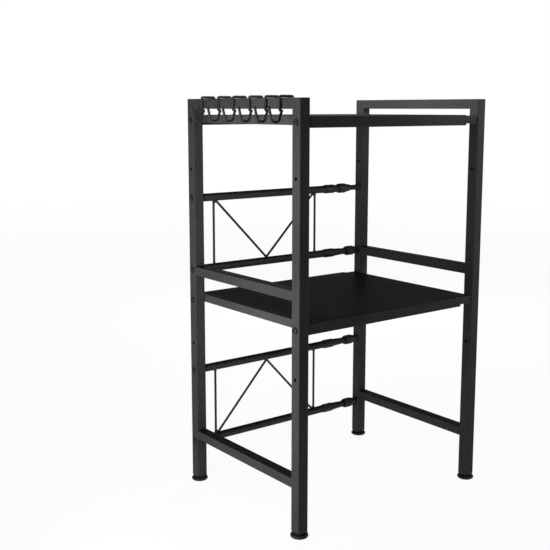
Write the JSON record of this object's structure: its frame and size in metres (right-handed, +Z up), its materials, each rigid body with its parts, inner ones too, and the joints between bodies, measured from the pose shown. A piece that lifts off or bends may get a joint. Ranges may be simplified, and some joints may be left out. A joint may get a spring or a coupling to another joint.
{
  "type": "microwave stand",
  "caption": "Open two-shelf kitchen rack of square tube on levelling feet, with telescoping shelves and rear rails that adjust its width, and hooks on one side.",
  "frame": {"origin": "on the floor, below the middle of the outline of the stand pushed together, hooks included", "axes": "+X to the right as seen from the open front, +Y to the back where the rear rails are, +Z up"},
  "size_m": [0.5006, 0.363, 0.7851],
  "materials": {
    "black_steel": "satin powder coat over steel",
    "black_wire": "satin coated wire",
    "dark_fasteners": "black oxide steel",
    "black_plastic": "moulded black plastic"
  },
  "bodies": {
    "left_frame": {"left_bottom_rail": "black_steel", "left_foot_inserts": "black_plastic", "left_front_post": "black_steel", "left_guard_rail": "black_steel", "left_post_caps": "black_plastic", "left_rail_bolts": "dark_fasteners", "left_rear_post": "black_steel", "left_shelf_bolts": "dark_fasteners", "left_shelf_nuts": "dark_fasteners", "left_top_rail": "black_steel", "lower_brace_left_diagonal_wire": "black_steel", "lower_brace_left_upright_wire": "black_steel", "lower_brace_right_diagonal_wire": "black_steel", "lower_brace_right_upright_wire": "black_steel", "mid_shelf_main_pan": "black_steel", "outer_tube_end_nuts": "dark_fasteners", "rear_rail_1_collet": "black_plastic", "rear_rail_1_outer_tube": "black_steel", "rear_rail_2_collet": "black_plastic", "rear_rail_2_outer_tube": "black_steel", "rear_rail_3_collet": "black_plastic", "rear_rail_3_outer_tube": "black_steel", "rear_rail_4_collet": "black_plastic", "rear_rail_4_outer_tube": "black_steel", "top_shelf_main_pan": "black_steel", "upper_brace_left_diagonal_wire": "black_steel", "upper_brace_left_upright_wire": "black_steel", "upper_brace_right_diagonal_wire": "black_steel", "upper_brace_right_upright_wire": "black_steel"},
    "right_frame": {"inner_tube_end_nuts": "dark_fasteners", "mid_shelf_extension_pan": "black_steel", "rear_rail_1_inner_tube": "black_steel", "rear_rail_2_inner_tube": "black_steel", "rear_rail_3_inner_tube": "black_steel", "rear_rail_4_inner_tube": "black_steel", "right_bottom_rail": "black_steel", "right_foot_inserts": "black_plastic", "right_front_post": "black_steel", "right_guard_rail": "black_steel", "right_post_caps": "black_plastic", "right_rail_bolts": "dark_fasteners", "right_rear_post": "black_steel", "right_shelf_bolts": "dark_fasteners", "right_shelf_nuts": "dark_fasteners", "right_top_rail": "black_steel", "top_shelf_extension_pan": "black_steel"},
    "left_front_foot": {"left_front_foot": "black_plastic"},
    "left_rear_foot": {"left_rear_foot": "black_plastic"},
    "right_front_foot": {"right_front_foot": "black_plastic"},
    "right_rear_foot": {"right_rear_foot": "black_plastic"},
    "rear_rail_1_lock_nut": {"rear_rail_1_lock_nut": "black_plastic"},
    "rear_rail_2_lock_nut": {"rear_rail_2_lock_nut": "black_plastic"},
    "rear_rail_3_lock_nut": {"rear_rail_3_lock_nut": "black_plastic"},
    "rear_rail_4_lock_nut": {"rear_rail_4_lock_nut": "black_plastic"},
    "hook_1": {"hook_1": "black_wire"},
    "hook_2": {"hook_2": "black_wire"},
    "hook_3": {"hook_3": "black_wire"},
    "hook_4": {"hook_4": "black_wire"},
    "hook_5": {"hook_5": "black_wire"},
    "hook_6": {"hook_6": "black_wire"}
  },
  "joints": [
    {"name": "width_slide", "type": "slide", "parent": "left_frame", "child": "right_frame", "axis": [1, 0, 0], "range_m": [0, 0.2]},
    {"name": "rear_rail_1_lock_nut_slide", "type": "slide", "parent": "left_frame", "child": "rear_rail_1_lock_nut", "axis": [1, 0, 0], "range_m": [0, 0.0248]},
    {"name": "rear_rail_2_lock_nut_slide", "type": "slide", "parent": "left_frame", "child": "rear_rail_2_lock_nut", "axis": [1, 0, 0], "range_m": [-0.0248, 0]},
    {"name": "rear_rail_3_lock_nut_slide", "type": "slide", "parent": "left_frame", "child": "rear_rail_3_lock_nut", "axis": [1, 0, 0], "range_m": [-0.0248, 0]},
    {"name": "rear_rail_4_lock_nut_slide", "type": "slide", "parent": "left_frame", "child": "rear_rail_4_lock_nut", "axis": [1, 0, 0], "range_m": [-0.0248, 0]},
    {"name": "left_front_foot_level", "type": "slide", "parent": "left_frame", "child": "left_front_foot", "axis": [0, 0, 1], "range_m": [-0.012, 0]},
    {"name": "left_rear_foot_level", "type": "slide", "parent": "left_frame", "child": "left_rear_foot", "axis": [0, 0, 1], "range_m": [-0.012, 0]},
    {"name": "right_front_foot_level", "type": "slide", "parent": "right_frame", "child": "right_front_foot", "axis": [0, 0, 1], "range_m": [-0.012, 0]},
    {"name": "right_rear_foot_level", "type": "slide", "parent": "right_frame", "child": "right_rear_foot", "axis": [0, 0, 1], "range_m": [-0.012, 0]},
    {"name": "hook_1_slide", "type": "slide", "parent": "left_frame", "child": "hook_1", "axis": [0, 1, 0], "range_m": [-0.02, 0.02]},
    {"name": "hook_2_slide", "type": "slide", "parent": "left_frame", "child": "hook_2", "axis": [0, 1, 0], "range_m": [-0.02, 0.02]},
    {"name": "hook_3_slide", "type": "slide", "parent": "left_frame", "child": "hook_3", "axis": [0, 1, 0], "range_m": [-0.02, 0.02]},
    {"name": "hook_4_slide", "type": "slide", "parent": "left_frame", "child": "hook_4", "axis": [0, 1, 0], "range_m": [-0.02, 0.02]},
    {"name": "hook_5_slide", "type": "slide", "parent": "left_frame", "child": "hook_5", "axis": [0, 1, 0], "range_m": [-0.02, 0.02]},
    {"name": "hook_6_slide", "type": "slide", "parent": "left_frame", "child": "hook_6", "axis": [0, 1, 0], "range_m": [-0.02, 0.02]}
  ]
}
